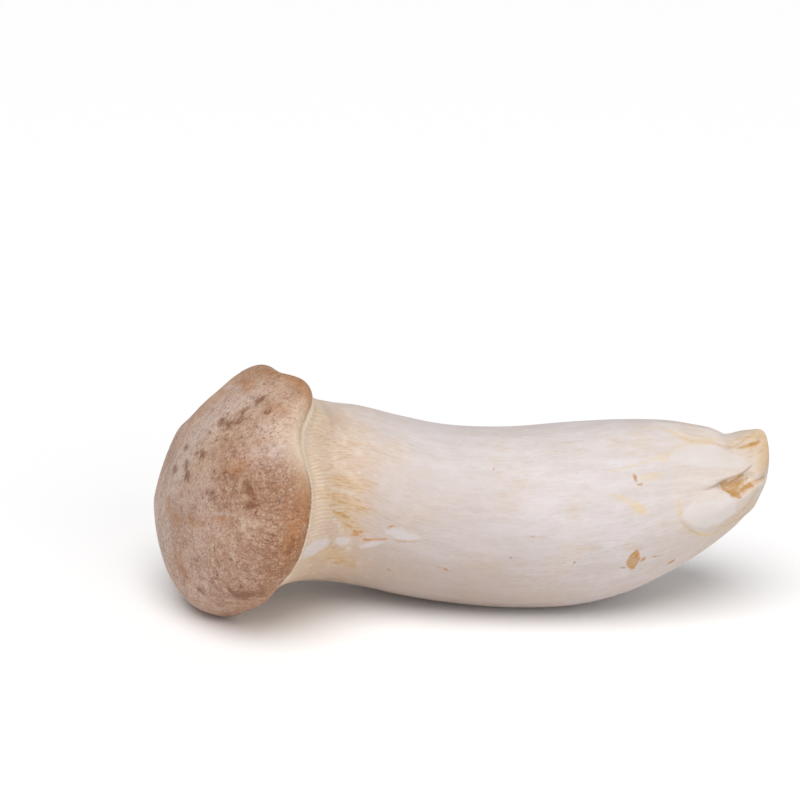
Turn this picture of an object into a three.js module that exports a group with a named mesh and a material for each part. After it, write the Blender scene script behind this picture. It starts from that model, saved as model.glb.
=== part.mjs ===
// A king oyster mushroom lying on its side, whole, in millimetres with +Z up.
// The cap points to -X, the cut foot to +X, and the side seen first looks to -Y.
// It rests on the low belly of the stalk and on the lowest part of the cap's edge.
// The origin is on the resting surface, under the middle of the mushroom's box.
// The skin is one closed loft of rings from the foot, along the stalk, over the cap.
// Angles round a ring are in degrees: 0 is the top, 90 faces -Y, 180 is the underside.

import * as THREE from "three";

// Sizes of the cap.
const CAP_RADIUS = 36.2;
const CAP_MIDDLE = [-62.4, -5.0, 34.7];
const CAP_TURN = 30.2;
const CAP_TILT = 15.8;

// Gills: their number, how far a crest stands over a groove, and where they fade out.
const GILL_COUNT = 72;
const GILL_HEIGHT = 0.8;
const GILL_FADE_START = 12.2;
const GILL_FADE_LENGTH = 2.6;

// Rings hold this many points in each stretch of the skin.
const FOOT_COLUMNS = 72;
const STALK_COLUMNS = 48;
const GILL_COLUMNS = 2 * GILL_COUNT;
const CAP_COLUMNS = 72;
const CROWN_COLUMNS = 36;

// Colours of the flesh and of the cap's skin.
const FLESH_COLOUR = 0xe6dcd4;
const SKIN_COLOUR = 0xbe9c80;

// Stations along the stalk, from the tip of the foot to the flare under the cap:
// x, y, z of the middle, half height, half width, turn, tilt,
// share of the cap edge's unevenness, rings up to the next station, points in each ring.
const STALK_STATIONS = [
  [88.2, 1.5, 42.0, 0.0, 0.0, 0, 0, 0, 2, FOOT_COLUMNS],
  [88.0, 1.5, 42.3, 4.1, 3.4, 0, 0, 0, 2, FOOT_COLUMNS],
  [87.2, 1.5, 42.3, 7.5, 6.2, 0, 0, 0, 2, FOOT_COLUMNS],
  [85.6, 1.5, 41.1, 9.9, 9.1, 0, 0, 0, 3, FOOT_COLUMNS],
  [82.2, 1.5, 38.4, 12.2, 12.0, 0, 0, 0, 4, FOOT_COLUMNS],
  [77.0, 1.3, 35.7, 15.0, 15.2, 0, 0, 0, 5, FOOT_COLUMNS],
  [69.0, 1.0, 33.1, 18.4, 19.0, 0, 0, 0, 5, FOOT_COLUMNS],
  [59.0, 0.5, 31.0, 22.0, 22.8, 0, 0, 0, 3, STALK_COLUMNS],
  [46.0, 0.0, 28.2, 25.0, 25.8, 0, 0, 0, 3, STALK_COLUMNS],
  [31.0, 0.0, 26.0, 26.3, 27.2, 0, 0, 0, 3, STALK_COLUMNS],
  [13.0, 0.3, 24.9, 25.9, 26.8, 0, 0, 0, 3, STALK_COLUMNS],
  [-4.0, 1.2, 25.6, 25.6, 26.2, 1, 0, 0, 3, STALK_COLUMNS],
  [-18.0, 2.4, 27.7, 26.0, 25.9, 4, 1, 0, 3, GILL_COLUMNS],
  [-30.0, 3.4, 30.2, 26.2, 25.7, 11, 4, 0.05, 3, GILL_COLUMNS],
  [-40.0, 3.2, 31.6, 26.0, 26.8, 20, 9, 0.2, 2, GILL_COLUMNS],
  [-48.0, 1.6, 32.7, 26.9, 29.3, 26.5, 13, 0.5, 2, GILL_COLUMNS],
  [-54.5, -0.8, 33.7, 29.6, 31.8, 29.8, 15.2, 0.8, 2, GILL_COLUMNS],
];

// Stations over the cap, from the gills round the edge to the crown:
// share of the cap's radius, height over the plane of the edge, slip of the ring downhill,
// rings up to the next station, points in each ring.
const CAP_STATIONS = [
  [0.885, -5.6, 0.0, 1, GILL_COLUMNS],
  [0.955, -3.5, 0.0, 1, GILL_COLUMNS],
  [0.99, -2.3, 0.0, 1, GILL_COLUMNS],
  [1.003, -0.7, 0.0, 1, CAP_COLUMNS],
  [1.0, 1.2, 0.2, 1, CAP_COLUMNS],
  [0.975, 3.7, 0.9, 2, CAP_COLUMNS],
  [0.905, 7.8, 2.0, 1, CAP_COLUMNS],
  [0.79, 11.9, 3.0, 2, CAP_COLUMNS],
  [0.63, 15.4, 3.9, 1, CAP_COLUMNS],
  [0.44, 18.0, 4.7, 1, CROWN_COLUMNS],
  [0.23, 19.4, 5.3, 1, CROWN_COLUMNS],
  [0.0, 19.8, 5.6, 1, CROWN_COLUMNS],
];

// The cap's edge isn't a true circle: angle, then the share that its reach grows by.
const EDGE_REACH = [
  [0, -0.012], [16, 0.045], [30, 0.064], [44, -0.044], [56, -0.058], [75, -0.023],
  [98, 0.017], [115, -0.018], [135, -0.041], [152, -0.041], [168, 0.003], [185, 0.01],
  [240, -0.019], [275, 0.025], [310, -0.038], [340, 0.014],
];

// The edge also waves along the cap's own axis: angle, then millimetres toward the crown.
const EDGE_LEAN = [
  [0, -0.8], [16, -3.0], [30, -1.0], [42, 2.8], [54, 3.3], [72, 1.1],
  [95, 1.3], [130, 1.3], [160, 2.0], [185, 2.4], [215, 0.6], [240, 1.1],
  [275, -0.9], [310, -1.7], [340, -2.3],
];

// Flats where the foot was trimmed: a point on the flat, its outward direction, its softness.
const FLATS = [
  { at: [70, -6.2, 50.0], facing: [0.28, -0.67, 0.69], soft: 0.4 },
  { at: [78.4, -8.7, 24.1], facing: [0.58, -0.42, -0.7], soft: 0.6 },
  { at: [72, 14, 44], facing: [0.3, 0.8, 0.52], soft: 0.8 },
];

// Folds and swellings: a path over the skin, its height (under zero is a crease), its width.
const FOLDS = [
  // the rolled edge along the top of the foot
  { path: [[55, -1, 53.8], [63, -1.5, 53.2], [71, -1.5, 51.8]], height: 0.7, width: 2.6 },
  // the dip over the top, just before the tip
  { path: [[77.4, -6, 49.5], [76.8, 1, 50.8], [75.8, 8, 49]], height: -1.6, width: 3.6 },
  // the hollow of the pocket, and the one that leads into it
  { path: [[73.4, -15, 40], [77.5, -13.2, 39.8], [81.5, -10.8, 41]], height: -1.7, width: 1.7 },
  { path: [[58, -20, 41.6], [65, -18.2, 39.6], [72.5, -15.4, 39.6]], height: -0.7, width: 2.6 },
  // the swelling under the pocket
  { path: [[66.5, -19, 32.6], [76, -14, 33.2]], height: 1.0, width: 5 },
  // a swelling of the far side, and a crease underneath
  { path: [[69, 18, 31.5], [78, 14, 36]], height: 0.9, width: 4 },
  { path: [[60, 3, 9.7], [68, 2, 15], [76, 2, 20.5]], height: -0.8, width: 2.0 },
  // the cap's outline: a dent and a swelling behind, and a place where its edge draws in
  { path: [[-72, 14, 60.5], [-78, 17, 54]], height: -1.0, width: 5 },
  { path: [[-83, 12, 46], [-87, 11, 34], [-88, 9, 28]], height: 1.3, width: 6 },
  { path: [[-48.2, -31.1, 17.4], [-50.5, -28.3, 14.6]], height: -0.9, width: 3.5 },
];

// Edges where one layer of flesh lies over the next: a path with the upper layer on its left,
// seen from outside, then the height of that layer and how far back it fades.
const LIPS = [
  // the rolled edge over the flat of the foot
  {
    path: [
      [59, -3.9, 52.6], [62.6, -6.9, 51.4], [67.2, -6.7, 50.6], [71.6, -5.8, 50.3],
      [75.2, -5.8, 49.8], [77.6, -4.5, 50], [79.4, -3.4, 50.4], [82.2, -0.9, 51.2],
    ],
    height: 0.75, reach: 3.0,
  },
  // the small flap at the tip
  {
    path: [[77.5, -4.2, 48.8], [79.6, -3.9, 48.4], [81.4, -3.3, 48.1], [83.5, -2.5, 48.1], [85.8, -1, 48.7]],
    height: 0.6, reach: 2.4,
  },
  // the upper lip of the pocket
  {
    path: [
      [66, -17.8, 39.4], [70.8, -16, 40.3], [74.9, -13.7, 41.9], [78.5, -12, 42.2],
      [81.1, -10.3, 43.4], [84, -8, 45],
    ],
    height: 0.9, reach: 2.6,
  },
  // the lower lip of the pocket
  {
    path: [
      [87.2, -4.6, 40.2], [85.1, -8, 39.5], [81.8, -10.8, 39.3], [79.4, -12.5, 37.7],
      [77.6, -13.5, 37], [76, -14.3, 37.1], [73.6, -15.2, 38.8], [71.4, -16.2, 40],
    ],
    height: 1.3, reach: 3.4,
  },
  // the swelling under the pocket: its left end, and its lower fold
  {
    path: [
      [65.6, -18.8, 38.2], [61.9, -20.8, 35.6], [59.8, -21.9, 33.1], [60.9, -21.6, 31.3],
      [64.6, -19.5, 27.9], [68, -17, 26.2],
    ],
    height: 0.45, reach: 3.6,
  },
  {
    path: [
      [65.5, -18.6, 26.6], [70.3, -15.4, 25.9], [76, -11.9, 27.3], [79.1, -9.6, 28.5],
      [82.6, -5.6, 29.6], [85, -2, 32],
    ],
    height: 0.8, reach: 2.6,
  },
  // the long fold along the lower right edge
  {
    path: [[60, -17.4, 17.6], [65, -16.6, 21.6], [70.3, -15, 24.6], [75, -11.4, 25.6], [79, -7, 26]],
    height: 0.5, reach: 1.8,
  },
  // the far side's folds
  { path: [[84, 11, 42], [76, 15.5, 40], [68, 19.3, 37], [60, 22, 34]], height: 0.8, reach: 3.0 },
  { path: [[66, 18.5, 25], [74, 15, 29], [81, 11.5, 34]], height: 0.7, reach: 2.6 },
];

// Long shallow swellings of the stalk: turns round it, waves along it, shift, height.
const SWELLINGS = [
  [3, 0.031, 0.4, 0.28],
  [5, -0.022, 2.1, 0.2],
  [8, 0.04, 4.0, 0.12],
];

// Shallow bumps of the cap: direction in the cap's plane, waves across it, shift, height.
const BUMPS = [
  [25, 0.16, 1.0, 0.3],
  [95, 0.21, 3.2, 0.26],
  [150, 0.33, 0.3, 0.16],
];

const radians = THREE.MathUtils.degToRad;

// The axis of a turned and tilted ring, its upward direction and its sideways direction.
function ringAxes(turn, tilt) {
  const a = radians(turn);
  const b = radians(tilt);
  return {
    along: new THREE.Vector3(-Math.cos(a) * Math.cos(b), -Math.sin(a) * Math.cos(b), Math.sin(b)),
    up: new THREE.Vector3(Math.cos(a) * Math.sin(b), Math.sin(a) * Math.sin(b), Math.cos(b)),
    side: new THREE.Vector3(Math.sin(a), -Math.cos(a), 0),
  };
}

// Every station in one form: eight smooth values, then its ring count and points in a ring.
function allStations() {
  const { along, up } = ringAxes(CAP_TURN, CAP_TILT);
  const overCap = CAP_STATIONS.map(([share, height, slip, rings, columns]) => {
    const middle = new THREE.Vector3(...CAP_MIDDLE);
    middle.addScaledVector(along, height);
    middle.addScaledVector(up, -slip);
    const radius = CAP_RADIUS * share;
    return [...middle.toArray(), radius, radius, CAP_TURN, CAP_TILT, share * share, rings, columns];
  });
  return [...STALK_STATIONS, ...overCap];
}

const STATIONS = allStations();
const EDGE_STATION = STALK_STATIONS.length + 3;

// A smooth curve through the stations, at a place that counts them from zero.
function stationAt(place) {
  const last = STATIONS.length - 1;
  const i = Math.min(Math.floor(place), last - 1);
  const f = place - i;
  const key = (j) => STATIONS[THREE.MathUtils.clamp(j, 0, last)];
  const [a, b, c, d] = [key(i - 1), key(i), key(i + 1), key(i + 2)];
  return [0, 1, 2, 3, 4, 5, 6, 7].map((k) => {
    const square = 2 * a[k] - 5 * b[k] + 4 * c[k] - d[k];
    const cube = 3 * b[k] - 3 * c[k] + d[k] - a[k];
    return 0.5 * (2 * b[k] + (c[k] - a[k]) * f + square * f * f + cube * f * f * f);
  });
}

// A smooth closed curve through pairs of angle and value.
function roundCurve(pairs, angle) {
  const n = pairs.length;
  const turned = ((angle % 360) + 360) % 360;
  let i = n - 1;
  while (i > 0 && pairs[i][0] > turned) i -= 1;
  const at = (j) => {
    const wrapped = ((j % n) + n) % n;
    return [pairs[wrapped][0] + 360 * Math.floor(j / n), pairs[wrapped][1]];
  };
  const slope = (j) => (at(j + 1)[1] - at(j - 1)[1]) / (at(j + 1)[0] - at(j - 1)[0]);
  const span = at(i + 1)[0] - at(i)[0];
  const f = (turned - at(i)[0]) / span;
  const start = (2 * f ** 3 - 3 * f ** 2 + 1) * at(i)[1] + (f ** 3 - 2 * f ** 2 + f) * span * slope(i);
  const end = (3 * f ** 2 - 2 * f ** 3) * at(i + 1)[1] + (f ** 3 - f ** 2) * span * slope(i + 1);
  return start + end;
}

// A point of the plain skin, before flats, folds and gills.
function skinPoint(place, angle) {
  const [x, y, z, height, width, turn, tilt, share] = stationAt(place);
  const { along, up, side } = ringAxes(turn, tilt);
  const uneven = THREE.MathUtils.clamp(share, 0, 1);
  const reach = 1 + uneven * roundCurve(EDGE_REACH, angle);
  const point = new THREE.Vector3(x, y, z);
  point.addScaledVector(up, Math.max(height, 0) * reach * Math.cos(radians(angle)));
  point.addScaledVector(side, Math.max(width, 0) * reach * Math.sin(radians(angle)));
  point.addScaledVector(along, uneven * roundCurve(EDGE_LEAN, angle));
  return point;
}

// The outward direction of the plain skin.
function skinNormal(place, angle) {
  const step = 0.02;
  const last = STATIONS.length - 1;
  const ahead = skinPoint(Math.min(place + step, last), angle);
  const behind = skinPoint(Math.max(place - step, 0), angle);
  const left = skinPoint(place, angle + 1);
  const right = skinPoint(place, angle - 1);
  return ahead.sub(behind).cross(left.sub(right)).normalize();
}

// Pushes a point back onto each flat that it stands over.
function trim(point) {
  for (const { at, facing, soft } of FLATS) {
    const direction = new THREE.Vector3(...facing).normalize();
    const over = point.clone().sub(new THREE.Vector3(...at)).dot(direction);
    const excess = over > 20 * soft ? over : soft * Math.log(1 + Math.exp(over / soft));
    point.addScaledVector(direction, -excess);
  }
}

// The height that the folds give at a point.
function foldHeight(point) {
  let height = 0;
  for (const fold of FOLDS) {
    let nearest = Infinity;
    for (let i = 0; i < fold.path.length - 1; i += 1) {
      const start = new THREE.Vector3(...fold.path[i]);
      const end = new THREE.Vector3(...fold.path[i + 1]);
      const closest = new THREE.Line3(start, end).closestPointToPoint(point, true, new THREE.Vector3());
      nearest = Math.min(nearest, closest.distanceTo(point));
    }
    height += fold.height * Math.exp(-((nearest / fold.width) ** 2));
  }
  return height;
}

// The height that the layers' edges give at a point, from its outward direction.
function lipHeight(point, normal) {
  let total = 0;
  for (const { path, height, reach } of LIPS) {
    let gap = Infinity;
    let across = 0;
    let along = 0;
    let passed = 0;
    for (let i = 0; i < path.length - 1; i += 1) {
      const line = new THREE.Line3(new THREE.Vector3(...path[i]), new THREE.Vector3(...path[i + 1]));
      const run = line.delta(new THREE.Vector3());
      const share = line.closestPointToPointParameter(point, true);
      const offset = point.clone().sub(line.at(share, new THREE.Vector3()));
      const depth = offset.dot(normal);
      offset.addScaledVector(normal, -depth);
      if (Math.abs(depth) < 6 && offset.length() < gap) {
        gap = offset.length();
        across = gap * Math.sign(normal.clone().cross(run).dot(offset));
        along = passed + share * run.length();
      }
      passed += run.length();
    }
    const fromStart = THREE.MathUtils.smoothstep(along / passed, 0, 0.2);
    const toEnd = THREE.MathUtils.smoothstep(1 - along / passed, 0, 0.2);
    const above = (1 - Math.exp(-Math.max(across, 0) / 0.5)) * Math.exp(-Math.max(across, 0) / reach);
    const below = -0.45 * Math.exp(Math.min(across, 0) / 0.9);
    if (gap < 4 * reach) total += height * fromStart * toEnd * (across > 0 ? above : below);
  }
  return total;
}

// How strongly the gills stand up: they fade down the stalk, and end inside the cap's edge.
function gillShare(place, angle) {
  const a = radians(angle);
  const start = GILL_FADE_START + 0.5 * Math.sin(3 * a + 1) + 0.35 * Math.sin(7 * a + 2);
  const rise = THREE.MathUtils.smoothstep(place, start, start + GILL_FADE_LENGTH);
  const deepen = 0.75 + 0.25 * THREE.MathUtils.smoothstep(place, 14.5, 17.5);
  const end = 1 - THREE.MathUtils.smoothstep(place, EDGE_STATION - 2, EDGE_STATION - 0.2);
  return rise * deepen * end;
}

// The height that gills, swellings and bumps give.
function reliefHeight(place, angle, point) {
  const a = radians(angle);
  let height = 0.5 * GILL_HEIGHT * gillShare(place, angle) * Math.cos(GILL_COUNT * a);
  const onStalk = THREE.MathUtils.smoothstep(place, 2, 6) * (1 - THREE.MathUtils.smoothstep(place, 13, 16));
  for (const [turns, waves, shift, size] of SWELLINGS) {
    height += onStalk * size * Math.sin(turns * a + waves * point.x + shift);
  }
  const onCap = THREE.MathUtils.smoothstep(place, EDGE_STATION, EDGE_STATION + 2);
  for (const [direction, waves, shift, size] of BUMPS) {
    const across = point.y * Math.cos(radians(direction)) + point.z * Math.sin(radians(direction));
    height += onCap * size * Math.sin(waves * across + shift);
  }
  return height;
}

// A finished point: nothing reaches below the surface that the mushroom lies on.
function bodyPoint(place, angle) {
  const point = skinPoint(place, angle);
  trim(point);
  const normal = skinNormal(place, angle);
  const height = foldHeight(point) + lipHeight(point, normal) + reliefHeight(place, angle, point);
  point.addScaledVector(normal, height);
  point.z = Math.max(point.z, 0);
  return point;
}

// The cap's skin is tan from its edge on, and the rest is cream.
function skinShare(place) {
  const edge = EDGE_STATION - 0.9;
  return THREE.MathUtils.smoothstep(place, edge, edge + 0.7);
}

// The rings of the whole body, with one single point at each end.
function makeRings() {
  const rings = [];
  const addRing = (place, columns) => {
    const ring = [];
    for (let i = 0; i < columns; i += 1) ring.push([place, (360 * i) / columns]);
    rings.push(ring);
  };
  const last = STATIONS.length - 1;
  rings.push([[0, 0]]);
  for (let i = 0; i < last; i += 1) {
    const count = STATIONS[i][8];
    for (let j = i === 0 ? 1 : 0; j < count; j += 1) addRing(i + j / count, STATIONS[i][9]);
  }
  rings.push([[last, 0]]);
  return rings;
}

// Joins two neighbouring rings, which may hold different numbers of points.
function joinRings(first, firstStart, second, secondStart, faces) {
  const n = first.length;
  const m = second.length;
  let i = 0;
  let j = 0;
  while (i < n || j < m) {
    const stepFirst = j >= m || (i < n && (i + 0.5) / n <= (j + 0.5) / m);
    const a = firstStart + (i % n);
    const b = secondStart + (j % m);
    if (stepFirst && n > 1) {
      faces.push(a, b, firstStart + ((i + 1) % n));
    }
    if (!stepFirst && m > 1) {
      faces.push(a, b, secondStart + ((j + 1) % m));
    }
    if (stepFirst) i += 1;
    else j += 1;
  }
}

function makeBody() {
  const rings = makeRings();
  const positions = [];
  const colours = [];
  const starts = [];
  const flesh = new THREE.Color(FLESH_COLOUR);
  const skin = new THREE.Color(SKIN_COLOUR);
  const tint = new THREE.Color(skin.r / flesh.r, skin.g / flesh.g, skin.b / flesh.b);
  const plain = new THREE.Color(1, 1, 1);
  for (const ring of rings) {
    starts.push(positions.length / 3);
    for (const [place, angle] of ring) {
      const point = ring.length > 1 ? bodyPoint(place, angle) : skinPoint(place, angle);
      positions.push(point.x, point.y, point.z);
      colours.push(...plain.clone().lerp(tint, skinShare(place)).toArray());
    }
  }
  const faces = [];
  for (let i = 0; i < rings.length - 1; i += 1) {
    joinRings(rings[i], starts[i], rings[i + 1], starts[i + 1], faces);
  }
  const geometry = new THREE.BufferGeometry();
  geometry.setAttribute("position", new THREE.Float32BufferAttribute(positions, 3));
  geometry.setAttribute("color", new THREE.Float32BufferAttribute(colours, 3));
  geometry.setIndex(faces);
  geometry.computeVertexNormals();
  return geometry;
}

const fleshMaterial = new THREE.MeshStandardMaterial({
  color: FLESH_COLOUR,
  roughness: 0.62,
  metalness: 0,
  vertexColors: true,
});

const geometry = makeBody();
geometry.computeBoundingBox();
const middle = geometry.boundingBox.getCenter(new THREE.Vector3());

const body = new THREE.Mesh(geometry, fleshMaterial);
body.name = "king_oyster_mushroom";
body.position.set(-middle.x, -middle.y, 0);

const mushroom = new THREE.Group();
mushroom.add(body);

export default mushroom;
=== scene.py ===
import math
import bpy
import numpy as np
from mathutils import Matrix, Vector


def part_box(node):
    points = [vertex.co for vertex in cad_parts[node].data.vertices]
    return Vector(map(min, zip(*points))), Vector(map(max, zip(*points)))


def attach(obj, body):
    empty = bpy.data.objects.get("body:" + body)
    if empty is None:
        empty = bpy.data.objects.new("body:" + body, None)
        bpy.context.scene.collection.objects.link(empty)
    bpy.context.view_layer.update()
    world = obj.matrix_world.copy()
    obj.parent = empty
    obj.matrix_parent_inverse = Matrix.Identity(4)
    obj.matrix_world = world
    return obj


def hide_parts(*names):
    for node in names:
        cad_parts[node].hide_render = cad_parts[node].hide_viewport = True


# A king oyster mushroom lying on its side, whole: thick cream stalk, tan domed cap.
# Tables are in millimetres, in the loft's own numbers, and become metres once the skin is made.
# Angles round a ring are in degrees: 0 is the top, 90 faces -Y, 180 is the underside.
# A place counts stations: 0 is the foot's tip, the gills begin near 13, the cap's edge is at
# EDGE_STATION and the crown at LAST_STATION.

NODE = "king_oyster_mushroom"
MM = 0.001

# How thick the stalk is: the fibres' grain is laid out on a round of this size.
STALK_THICKNESS = 52.0

# The loft's numbers are moved by this much, so that the origin is under the middle of the box.
SHIFT = (1.072, 4.595, 0.0)

CAP_RADIUS = 36.2
CAP_MIDDLE = (-62.4, -5.0, 34.7)
CAP_TURN = 30.2
CAP_TILT = 15.8

# Stations along the stalk, from the tip of the foot to the flare under the cap:
# x, y, z of the middle, half height, half width, turn, tilt, share of the cap edge's unevenness.
STALK_STATIONS = [
    (88.2, 1.5, 42.0, 0.0, 0.0, 0, 0, 0),
    (88.0, 1.5, 42.3, 4.1, 3.4, 0, 0, 0),
    (87.2, 1.5, 42.3, 7.5, 6.2, 0, 0, 0),
    (85.6, 1.5, 41.1, 9.9, 9.1, 0, 0, 0),
    (82.2, 1.5, 38.4, 12.2, 12.0, 0, 0, 0),
    (77.0, 1.3, 35.7, 15.0, 15.2, 0, 0, 0),
    (69.0, 1.0, 33.1, 18.4, 19.0, 0, 0, 0),
    (59.0, 0.5, 31.0, 22.0, 22.8, 0, 0, 0),
    (46.0, 0.0, 28.2, 25.0, 25.8, 0, 0, 0),
    (31.0, 0.0, 26.0, 26.3, 27.2, 0, 0, 0),
    (13.0, 0.3, 24.9, 25.9, 26.8, 0, 0, 0),
    (-4.0, 1.2, 25.6, 25.6, 26.2, 1, 0, 0),
    (-18.0, 2.4, 27.7, 26.0, 25.9, 4, 1, 0),
    (-30.0, 3.4, 30.2, 26.2, 25.7, 11, 4, 0.05),
    (-40.0, 3.2, 31.6, 26.0, 26.8, 20, 9, 0.2),
    (-48.0, 1.6, 32.7, 26.9, 29.3, 26.5, 13, 0.5),
    (-54.5, -0.8, 33.7, 29.6, 31.8, 29.8, 15.2, 0.8),
]

# Stations over the cap: share of its radius, height over the plane of its edge, slip downhill.
CAP_STATIONS = [
    (0.885, -5.6, 0.0),
    (0.955, -3.5, 0.0),
    (0.99, -2.3, 0.0),
    (1.003, -0.7, 0.0),
    (1.0, 1.2, 0.2),
    (0.975, 3.7, 0.9),
    (0.905, 7.8, 2.0),
    (0.79, 11.9, 3.0),
    (0.63, 15.4, 3.9),
    (0.44, 18.0, 4.7),
    (0.23, 19.4, 5.3),
    (0.0, 19.8, 5.6),
]
EDGE_STATION = len(STALK_STATIONS) + 3
LAST_STATION = len(STALK_STATIONS) + len(CAP_STATIONS) - 1

# The cap's edge isn't a true circle: angle, then the share that its reach grows by.
EDGE_REACH = [
    (0, -0.012), (16, 0.045), (30, 0.064), (44, -0.044), (56, -0.058), (75, -0.023),
    (98, 0.017), (115, -0.018), (135, -0.041), (152, -0.041), (168, 0.003), (185, 0.01),
    (240, -0.019), (275, 0.025), (310, -0.038), (340, 0.014),
]

# The edge also waves along the cap's own axis: angle, then millimetres toward the crown.
EDGE_LEAN = [
    (0, -0.8), (16, -3.0), (30, -1.0), (42, 2.8), (54, 3.3), (72, 1.1),
    (95, 1.3), (130, 1.3), (160, 2.0), (185, 2.4), (215, 0.6), (240, 1.1),
    (275, -0.9), (310, -1.7), (340, -2.3),
]

# Flats where the foot was trimmed: a point on the flat, its outward direction, its softness.
FLATS = [
    ((70, -6.2, 50.0), (0.28, -0.67, 0.69), 0.4),
    ((78.4, -8.7, 24.1), (0.58, -0.42, -0.7), 0.6),
    ((72, 14, 44), (0.3, 0.8, 0.52), 0.8),
]

# Folds of the foot and the cap: a path over the skin, its height (under zero is a crease), its width.
FOLDS = [
    # the rolled edge along the top
    ([(55, -1, 53.8), (63, -1.5, 53.2), (71, -1.5, 51.8)], 0.7, 2.6),
    # the dip over the top, just before the tip
    ([(77.4, -6, 49.5), (76.8, 1, 50.8), (75.8, 8, 49)], -1.6, 3.6),
    # the hollow of the pocket, and the one that leads into it
    ([(73.4, -15, 40), (77.5, -13.2, 39.8), (81.5, -10.8, 41)], -1.7, 1.7),
    ([(58, -20, 41.6), (65, -18.2, 39.6), (72.5, -15.4, 39.6)], -0.7, 2.6),
    # the swelling under the pocket
    ([(66.5, -19, 32.6), (76, -14, 33.2)], 1.0, 5.0),
    # a swelling of the far side, and a crease underneath
    ([(69, 18, 31.5), (78, 14, 36)], 0.9, 4.0),
    ([(60, 3, 9.7), (68, 2, 15), (76, 2, 20.5)], -0.8, 2.0),
    # the cap's outline: a dent and a swelling behind, and a place where its edge draws in
    ([(-72, 14, 60.5), (-78, 17, 54)], -1.0, 5.0),
    ([(-83, 12, 46), (-87, 11, 34), (-88, 9, 28)], 1.3, 6.0),
    ([(-48.2, -31.1, 17.4), (-50.5, -28.3, 14.6)], -0.9, 3.5),
    # the notch in the top of the cap's edge
    ([(-56.6, 2.5, 69.8), (-55.4, -1.5, 70.2)], -0.7, 0.8),
]

# Long shallow swellings of the stalk: turns round it, waves along it, shift, height.
SWELLINGS = [(3, 0.031, 0.4, 0.28), (5, -0.022, 2.1, 0.2), (8, 0.04, 4.0, 0.12)]

# Shallow bumps of the cap: direction in its plane, waves across it, shift, height.
BUMPS = [(25, 0.16, 1.0, 0.3), (95, 0.21, 3.2, 0.26), (150, 0.33, 0.3, 0.16)]

# Gills: their number, the points across each, their height, and how much lower some of them are.
GILL_COUNT = 156
GILL_STEPS = 6
GILL_HEIGHT = 0.28
GILL_UNEVEN_SHARE = 0.45
GILL_SEED = 11

# Where they fade down the stalk. Each gill begins at a place of its own, this far past the common
# one, and rises over GILL_OWN_RISE; then all of them deepen toward the cap.
GILL_FADE_START = 12.8
GILL_FADE_LENGTH = 2.4
GILL_OWN_START = (-0.2, 2.2)
GILL_OWN_RISE = 1.6
GILL_DEEPEN_PLACES = (14.5, 17.5)

# On the side seen first the gills sink by this many degrees, most at this angle, and so run level.
GILL_SINK = 6.0
GILL_SINK_ANGLE = 36.0
GILL_SINK_SPREAD = 30.0
GILL_SINK_PLACES = (13.0, 17.2)

# The fibres twist by this many degrees where the neck widens, and back over the cap's edge.
FIBRE_TWIST = 3.0
FIBRE_TWIST_PLACES = (10.5, 15.5)
FIBRE_UNTWIST_PLACES = (19, 21)

# Where the cap's skin fades softly into the neck: the middle of that stretch and its half width.
SOFT_EDGE_ANGLE = 50
SOFT_EDGE_SPREAD = 17

# Stretches of the skin: the station each ends at, the distance between rings, points round a ring.
STRETCHES = [
    (8, 0.48, 300),
    (12, 1.6, 300),
    (EDGE_STATION - 1, 1.1, GILL_COUNT * GILL_STEPS),
    (EDGE_STATION + 2, 0.45, 300),
    (LAST_STATION, 1.0, 300),
]

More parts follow.
